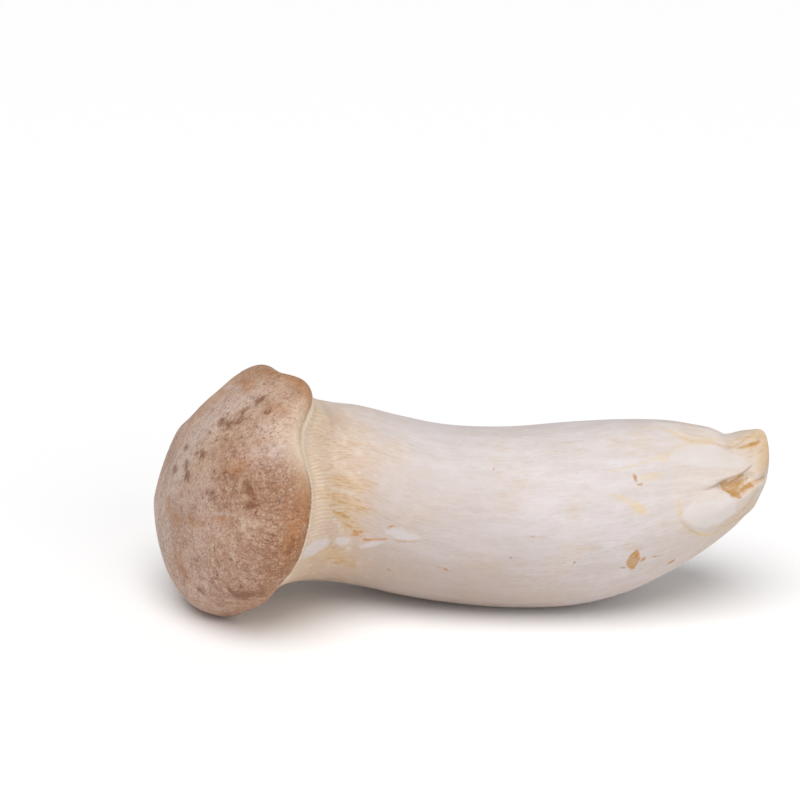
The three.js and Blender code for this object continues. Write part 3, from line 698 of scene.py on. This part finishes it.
def distance_to_path(points, path):
    """The distance from each point to a line through the path's points."""
    nearest = np.full(points.shape[:-1], 1e9)
    for start, end in zip(path[:-1], path[1:]):
        start, end = np.array(start, float), np.array(end, float)
        run = end - start
        share = np.clip(((points - start) @ run) / (run @ run), 0, 1)
        gap = np.linalg.norm(points - start - share[..., None] * run, axis=-1)
        nearest = np.minimum(nearest, gap)
    return nearest


def fold_height(points):
    height = np.zeros(points.shape[:-1])
    for path, size, width in FOLDS:
        height += size * np.exp(-(distance_to_path(points, path) / width) ** 2)
    return height


def relief_height(place, angle, points):
    """The height that swellings of the stalk and bumps of the cap give."""
    a = np.radians(angle)
    height = np.zeros(points.shape[:-1])
    on_stalk = smooth_step(place, 2, 6) * (1 - smooth_step(place, 13, 16))
    for turns, waves, shift, size in SWELLINGS:
        height += on_stalk * size * np.sin(turns * a + waves * points[..., 0] + shift)
    on_cap = smooth_step(place, EDGE_STATION, EDGE_STATION + 2)
    for direction, waves, shift, size in BUMPS:
        d = math.radians(direction)
        across = points[..., 1] * math.cos(d) + points[..., 2] * math.sin(d)
        height += on_cap * size * np.sin(waves * across + shift)
    return height


def gill_bed(place, angle):
    """How strongly gills may stand up here: they fade down the stalk and end under the cap's edge."""
    a = np.radians(angle)
    start = GILL_FADE_START + 0.5 * np.sin(3 * a + 1) + 0.35 * np.sin(7 * a + 2)
    rise = smooth_step(place, start, start + GILL_FADE_LENGTH)
    end = 1 - smooth_step(place, EDGE_STATION - 2.0, EDGE_STATION - 0.9)
    return rise * end


def gill_drift(place, angle):
    """Degrees that the gills run off straight: a small waver, and a sinking on the side seen first."""
    a = np.radians(angle)
    waver = 0.3 * np.sin(2.1 * place + 4 * a) + 0.2 * np.sin(3.7 * place + 9 * a + 1)
    from_middle = (angle + 180) % 360 - (180 + GILL_SINK_ANGLE)
    sink = GILL_SINK * np.exp(-(from_middle / GILL_SINK_SPREAD) ** 2)
    sink = sink * smooth_step(place, *GILL_SINK_PLACES)
    sink = sink * (1 - smooth_step(place, EDGE_STATION - 1.0, EDGE_STATION + 0.5))
    return waver * gill_bed(place, angle) + sink


def fibre_direction(place, angle):
    """The angle, in radians, that the fibres at each point belong to."""
    twist = smooth_step(place, *FIBRE_TWIST_PLACES) * (1 - smooth_step(place, *FIBRE_UNTWIST_PLACES))
    return np.radians(angle + FIBRE_TWIST * twist)


def ring_places():
    """Where the rings lie, by the distance over the skin, and how many points each one has."""
    places, columns = [0.0], [1]
    for i in range(LAST_STATION):
        steps = np.linspace(i, i + 1, 9)
        points = skin_point(steps, np.full(9, 90.0))
        length = np.linalg.norm(np.diff(points, axis=0), axis=1).sum()
        spacing, count = next(stretch[1:] for stretch in STRETCHES if i < stretch[0])
        rings = max(1, math.ceil(length / spacing))
        for j in range(1 if i == 0 else 0, rings):
            places.append(i + j / rings)
            columns.append(count if i < LAST_STATION - 1 else count // 4)
    return places + [float(LAST_STATION)], columns + [1]


def join_rings(first_start, n, second_start, m):
    """Triangles or quads between two neighbouring rings, whatever their numbers of points."""
    if n == m:
        i = np.arange(n)
        k = (i + 1) % n
        corners = (first_start + i, second_start + i, second_start + k, first_start + k)
        return [tuple(face) for face in np.stack(corners, 1)]
    faces = []
    i = j = 0
    while i < n or j < m:
        a, b = first_start + i % n, second_start + j % m
        if j >= m or (i < n and (i + 0.5) / n <= (j + 0.5) / m):
            if n > 1:
                faces.append((a, b, first_start + (i + 1) % n))
            i += 1
        else:
            if m > 1:
                faces.append((a, b, second_start + (j + 1) % m))
            j += 1
    return faces


def make_skin(low, high):
    """The closed skin in millimetres, kept inside the given box, with its marks as attributes."""
    places, columns = ring_places()
    place = np.concatenate([np.full(c, p) for p, c in zip(places, columns)])
    angle = np.concatenate([np.arange(c) * 360.0 / c for c in columns])
    drifted = angle + gill_drift(place, angle)
    plain = trim(skin_point(place, drifted))
    normals = skin_normal(place, drifted)
    lips, crease = lip_height(plain, normals)
    height = fold_height(plain) + lips + relief_height(place, angle, plain)
    points = plain + normals * height[:, None]
    points[0] = skin_point(place[:1], angle[:1])[0]
    points[-1] = skin_point(place[-1:], angle[-1:])[0]
    points[:, 2] = np.maximum(points[:, 2], 0)
    points = np.clip(points + np.array(SHIFT), low, high)
    faces = []
    start = 0
    for n, m in zip(columns[:-1], columns[1:]):
        faces += join_rings(start, n, start + n, m)
        start += n
    # the distance run over the skin from the foot's tip
    middles = skin_point(np.array(places), np.full(len(places), 90.0))
    run = np.concatenate([[0], np.cumsum(np.linalg.norm(np.diff(middles, axis=0), axis=1))])
    fibre = fibre_direction(place, angle)
    values = {
        "place": place,
        "run": np.concatenate([np.full(c, r) for r, c in zip(run, columns)]),
        "around": angle / 360,
        "gill_bed": gill_bed(place, angle),
        "crease": crease,
        "soft_edge": np.exp(-((angle - SOFT_EDGE_ANGLE) / SOFT_EDGE_SPREAD) ** 2),
        "spoke_x": np.cos(fibre),
        "spoke_y": np.sin(fibre),
    }
    for tone in TONES:
        values[tone] = tone_share(plain, normals, tone)
    return points, faces, values


def mushroom_object(name, low, high):
    points, faces, values = make_skin(low, high)
    mesh = bpy.data.meshes.new(name)
    mesh.from_pydata((points * MM).tolist(), [], faces)
    mesh.update()
    for label, data in values.items():
        layer = mesh.attributes.new(label, "FLOAT", "POINT")
        layer.data.foreach_set("value", data.astype(np.float32))
    mesh.polygons.foreach_set("use_smooth", np.ones(len(mesh.polygons), bool))
    thing = bpy.data.objects.new(name, mesh)
    bpy.context.collection.objects.link(thing)
    return thing


def gill_tree(material):
    """Raises the gills from the skin: one crest for each, of its own height and length."""
    group = bpy.data.node_groups.new("raise_gills", "GeometryNodeTree")
    for name, kind in (("Geometry", "Geometry"), ("Gill Count", "Int"), ("Gill Height", "Float"),
                       ("Uneven Share", "Float"), ("Seed", "Int")):
        group.interface.new_socket(name, in_out="INPUT", socket_type="NodeSocket" + kind)
    group.interface.new_socket("Geometry", in_out="OUTPUT", socket_type="NodeSocketGeometry")
    t = Tree(group)
    source = group.nodes.new("NodeGroupInput")
    given = {s.name: Socket(group, s) for s in source.outputs if s.name}

    def attribute(name):
        node = group.nodes.new("GeometryNodeInputNamedAttribute")
        node.data_type = "FLOAT"
        node.inputs["Name"].default_value = name
        return Socket(group, node.outputs["Attribute"])

    def chance(low, high, shift):
        return t.node(
            "FunctionNodeRandomValue", {"data_type": "FLOAT"}, "Value",
            Min=low, Max=high, ID=index, Seed=given["Seed"] + shift,
        )

    turns = attribute("around") * given["Gill Count"]
    index = (turns + 0.5).math("FLOOR").math("MODULO", given["Gill Count"])
    bed = attribute("gill_bed")
    along = attribute("place")
    wave = (turns * (2 * math.pi)).math("COSINE") * 0.5 + 0.5
    own_height = 1.0 - given["Uneven Share"] * chance(0.0, 1.0, 0)
    own_start = chance(GILL_FADE_START + GILL_OWN_START[0], GILL_FADE_START + GILL_OWN_START[1], 7)
    own_reach = t.smooth(along, own_start, own_start + GILL_OWN_RISE)
    deepen = 0.6 + 0.4 * t.smooth(along, *GILL_DEEPEN_PLACES)
    strength = bed * own_reach * own_height * deepen
    crest = wave ** 0.8
    height = (crest - 0.5) * strength * given["Gill Height"]
    outward = t.node("GeometryNodeInputNormal")
    offset = t.node("ShaderNodeVectorMath", {"operation": "SCALE"}, 0, Vector=outward, Scale=height)
    raised = t.node("GeometryNodeSetPosition", None, 0, Geometry=given["Geometry"], Offset=offset)
    # how deep in a groove each point lies: the finish tints it tan, partly as painted shade
    marked = t.node(
        "GeometryNodeStoreNamedAttribute", {"data_type": "FLOAT", "domain": "POINT"}, 0,
        Geometry=raised, Name="groove", Value=(1.0 - crest) * strength,
    )
    whole = t.node("GeometryNodeRealizeInstances", None, 0, Geometry=marked)
    dressed = t.node("GeometryNodeSetMaterial", None, 0, Geometry=whole, Material=material)
    result = group.nodes.new("NodeGroupOutput")
    group.links.new(dressed.socket, result.inputs["Geometry"])
    return group


def keep_inside(thing, low, high):
    """Holds a mesh inside a box, so that no gill dips under the floor."""
    for vertex in thing.data.vertices:
        vertex.co = [min(max(c, a), b) for c, a, b in zip(vertex.co, low, high)]
    thing.data.update()


def apply_tree(thing, group, inputs):
    """Runs a node tree on an object and keeps the result as a plain mesh."""
    modifier = thing.modifiers.new(group.name, "NODES")
    modifier.node_group = group
    for item in group.interface.items_tree:
        if item.item_type == "SOCKET" and item.in_out == "INPUT" and item.name in inputs:
            modifier[item.identifier] = inputs[item.name]
    graph = bpy.context.evaluated_depsgraph_get()
    mesh = bpy.data.meshes.new_from_object(thing.evaluated_get(graph), depsgraph=graph)
    thing.modifiers.remove(modifier)
    old = thing.data
    thing.data = mesh
    bpy.data.meshes.remove(old)


def floor_finish():
    p = Paint("pale_floor")
    p.finish(Base_Color=shade(FLOOR_COLOUR), Roughness=FLOOR_ROUGHNESS)
    return p.material


def mushroom_finish():
    """Cream flesh with long fibres and painted shade on its underside, tan grooves between the gills
    that are partly painted shade, painted light under the cap's edge, and a tan fibrous cap skin.
    """
    p = Paint("mushroom_flesh_and_skin")
    where = p.node("ShaderNodeTexCoord", None, "Object")
    place = p.attribute("place")
    groove = p.attribute("groove")
    run = p.attribute("run")
    spoke_x, spoke_y = p.attribute("spoke_x"), p.attribute("spoke_y")

    def grain(width, length):
        """Noise drawn out along the stalk, or out from the crown: grain size in millimetres."""
        turn = STALK_THICKNESS / 2 / width
        vector = p.node(
            "ShaderNodeCombineXYZ", None, 0, X=spoke_x * turn, Y=spoke_y * turn, Z=run * (1.0 / length),
        )
        return p.noise(vector, 1.0, 3.0, 0.6)

    # noise that both the flesh and the skin read
    threads = grain(0.38, 2.8)
    wisps = grain(1.0, 6.0)
    clouds = p.noise(where, 55.0, 4.0, 0.6)
    mist = p.noise(where, 240.0, 4.0, 0.65)
    patches = p.noise(where, 170.0, 5.0, 0.7, 0.6)
    ragged = p.noise(where, 650.0, 4.0, 0.7) - 0.5

    def mark(tone, soft, rough):
        """Where a tone's marks are: its attribute is in millimetres, and noise breaks the outline."""
        return p.smooth(p.attribute(tone) + ragged * rough, -soft, soft)

    # flesh: cream, with faint streaks, blurred warm clouds and a few wisps, and painted shade on the
    # underside and on the upper front of the stalk's middle
    streaks = grain(3.0, 14.0)
    dots = p.noise(where, 330.0, 0.0, 0.5)
    lower = p.smooth(spoke_x, 0.35, -0.6)
    # painted shade: a soft darker patch on the upper front of the stalk, from its middle to the neck
    upper_front_shade = p.smooth(spoke_y, 0.3, 0.9) * p.smooth(spoke_x, -0.2, 0.3)
    upper_front_shade = upper_front_shade * p.smooth(place, 9.2, 10.8) * p.smooth(place, 15.5, 13.0)
    tip = p.smooth(place, 5.0, 2.6) * p.smooth(spoke_x, -0.2, 0.4)
    flesh = p.blend(p.smooth(streaks, 0.3, 0.7), shade("cbc1be"), shade("d3cbcc"))
    flesh = p.layers(flesh, [
        (p.smooth(clouds, 0.5, 0.75) * 0.28, "d6bfa4"),
        (p.smooth(wisps, 0.5, 0.66) * p.smooth(clouds, 0.4, 0.65) * 0.38, "cfb595"),
        (p.smooth(mist, 0.48, 0.68) * 0.25, "dcd7d8"),
        (p.smooth(threads, 0.52, 0.7) * (0.16 + lower * 0.22), "a8917c"),
        (p.smooth(threads, 0.45, 0.25) * 0.15, "e4e0df"),
        # painted shade: the underside darker and warmer, most of all from the stalk's middle toward the
        # cap
        (lower * (0.23 + p.smooth(place, 8.0, 11.0) * 0.47), "a48f80"),
        # painted shade patch on the upper front of the stalk
        (upper_front_shade * 0.35, "b3a298"),
        (tip * 0.4, "d0b284"),
        (p.smooth(dots, 0.84, 0.87) * 0.5, "8c6a4a"),
    ])

    # neck: yellower toward the cap, tan between the gills with painted shade in the grooves, short tan
    # wisps beyond them, and painted light under the cap's edge
    neck = p.smooth(place + (clouds - 0.5) * 2.5, 11.2, 15.0)
    flesh = p.layers(flesh, [
        (neck * 0.66, "c9af94"),
        (neck * p.smooth(mist, 0.5, 0.66) * 0.45, "dccdc0"),
        (neck * p.smooth(threads, 0.5, 0.66) * p.smooth(clouds, 0.35, 0.6) * 0.5, "b58550"),
        # tan grooves between the gills, partly painted shade that is deepest in each groove
        (groove * 0.36, "bd9a68"),
        # paler up to the cap's edge; the last, strongest band is painted light that lifts the shade
        # under the edge
        (p.smooth(place, 14.5, 17.5) * 0.2, "ead9c2"),
        (p.smooth(place, 16.6, 18.2) * 0.8, "f6e8d2"),
    ])

    # the foot's warmth, its flats, and the marks on the flesh
    warm = mark("warm", 1.8, 3.0) * (0.55 + p.smooth(wisps, 0.4, 0.65) * 0.45)
    yellow = mark("yellow", 0.55, 1.8) * (0.5 + p.smooth(mist, 0.4, 0.6) * 0.5)
    tan = mark("tan", 0.3, 1.5) * (0.6 + p.smooth(threads, 0.4, 0.6) * 0.4)
    flat = mark("flat", 0.5, 1.6)
    crease = p.smooth(p.attribute("crease"), 0.1, 1.0)
    flesh = p.layers(flesh, [
        (p.smooth(place, 8.5, 5.5) * 0.2, "dcc39c"),
        (flat * 0.5, "d6d0cf"),
        (warm * 0.6, "c9a670"),
        (warm * p.smooth(threads, 0.46, 0.66) * 0.6, "a67c48"),
        (yellow * 0.5, "d9bd82"),
        (crease * 0.75, "c4914c"),
        (tan * 0.95, "b4843c"),
        (mark("orange", 0.35, 1.6) * 0.85, "b87c24"),
    ])

    # cap skin: pale brown and mottled, warmer at its top and right, with fibrils from the crown
    blotches = p.noise(where, 42.0, 5.0, 0.65)
    spread = p.noise(where, 28.0, 2.0, 0.5, 0.3)
    mottle = p.noise(where, 420.0, 4.0, 0.7, 0.5)
    fibrils = grain(0.45, 2.4)
    grit = p.noise(where, 1500.0, 3.0, 0.75)
    specks = p.noise(where, 1100.0, 1.0, 0.5)
    edge_side = p.smooth(place, EDGE_STATION + 3.0, EDGE_STATION + 0.4)
    front = p.smooth(spoke_y, 0.6, 0.97) * p.smooth(place, EDGE_STATION + 5.0, EDGE_STATION + 0.8)
    broken = p.attribute("brown") + ragged * 4.4 + (patches - 0.5) * 7.0
    skin = p.blend(p.smooth(blotches, 0.36, 0.6), shade("a57c62"), shade("c3a392"))
    skin = p.layers(skin, [
        (p.smooth(spoke_x, 0.5, 1.0) * 0.4, "c39c78"),
        (p.smooth(patches, 0.52, 0.64) * p.smooth(spread, 0.4, 0.6) * 0.6, "85573b"),
        (p.smooth(patches, 0.46, 0.32) * 0.5, "d2bca8"),
        # pale bloom with a painted sheen on the cap's left and upper right
        (mark("bloom_and_sheen", 7.0, 10.0) * 0.6, "d3c2bb"),
        (front * 0.95, "8f5a32"),
        (edge_side * 0.5, "9a683d"),
        (p.smooth(mottle, 0.5, 0.62) * 0.28, "d3bca6"),
        (p.smooth(mottle, 0.48, 0.36) * 0.4, "845636"),
        (p.smooth(fibrils, 0.52, 0.64) * (0.32 + front * 0.38), "6e452c"),
        (p.smooth(grit, 0.5, 0.64) * 0.35, "7a543c"),
        (p.smooth(grit, 0.5, 0.36) * 0.28, "d8c6b4"),
        (mark("rust", 2.5, 5.0) * 0.6, "a8713f"),
        (p.smooth(broken, -1.1, 1.2) * 0.8, "73421f"),
        (p.smooth(specks, 0.65, 0.72) * 0.6, "5c3822"),
    ])

    # the skin ends under the cap's edge, in a thin cream line that is partly painted light against the
    # shade there, and fades at one side
    limit = place + (p.noise(where, 320.0, 2.0, 0.5) - 0.5) * 0.35
    capped = p.smooth(limit, EDGE_STATION - 1.7, EDGE_STATION - 1.3)
    fading = p.smooth(limit, EDGE_STATION + 3.0, EDGE_STATION - 0.4) * p.attribute("soft_edge")
    line = p.smooth(limit, EDGE_STATION - 2.2, EDGE_STATION - 1.7)
    line = line * (1.0 - p.smooth(limit, EDGE_STATION - 1.5, EDGE_STATION - 1.1))
    colour = p.blend(capped * (1.0 - fading * 0.6), flesh, skin)
    colour = p.layers(colour, [
        # thin cream line under the cap's edge: the turned-under margin, partly painted light lifting
        # the shade there
        (line * 0.6, "e0cdb2"),
        (mark("pale", 0.7, 3.2) * (0.72 - capped * 0.42), "d2cacb"),
    ])

    # relief too fine to model
    flesh_relief = (threads * (0.3 + lower * 0.35) + wisps * 0.55) * (1.0 - flat * 0.7) + mist * 0.25
    skin_relief = fibrils * 0.6 + grit * 0.4 + patches * 0.4 + mottle * 0.4
    relief = flesh_relief * (1.0 - capped) + skin_relief * capped
    bump = p.node("ShaderNodeBump", None, 0, Strength=0.6, Distance=0.4 * MM, Height=relief)
    p.finish(
        Base_Color=colour,
        Roughness=0.6 - capped * 0.08 - threads * 0.08,
        Normal=bump,
        Subsurface_Weight=0.1,
        Subsurface_Radius=(1.0, 0.8, 0.6),
        Subsurface_Scale=2.5 * MM,
    )
    return p.material


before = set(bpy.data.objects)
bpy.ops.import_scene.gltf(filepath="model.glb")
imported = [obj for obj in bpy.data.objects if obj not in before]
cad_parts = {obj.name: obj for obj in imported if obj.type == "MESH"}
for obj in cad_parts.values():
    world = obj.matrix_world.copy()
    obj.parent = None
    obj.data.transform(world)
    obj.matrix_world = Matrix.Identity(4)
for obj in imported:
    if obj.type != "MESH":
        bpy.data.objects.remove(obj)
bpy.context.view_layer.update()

set_camera()
set_lights()
add_floor(floor_finish())

low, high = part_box(NODE)
finish = mushroom_finish()
mushroom = mushroom_object("mushroom", np.array(low) / MM, np.array(high) / MM)
apply_tree(
    mushroom,
    gill_tree(finish),
    {"Gill Count": GILL_COUNT, "Gill Height": GILL_HEIGHT * MM,
     "Uneven Share": GILL_UNEVEN_SHARE, "Seed": GILL_SEED},
)
keep_inside(mushroom, low, high)
mushroom.data.materials.clear()
mushroom.data.materials.append(finish)
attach(mushroom, "root")
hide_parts(NODE)
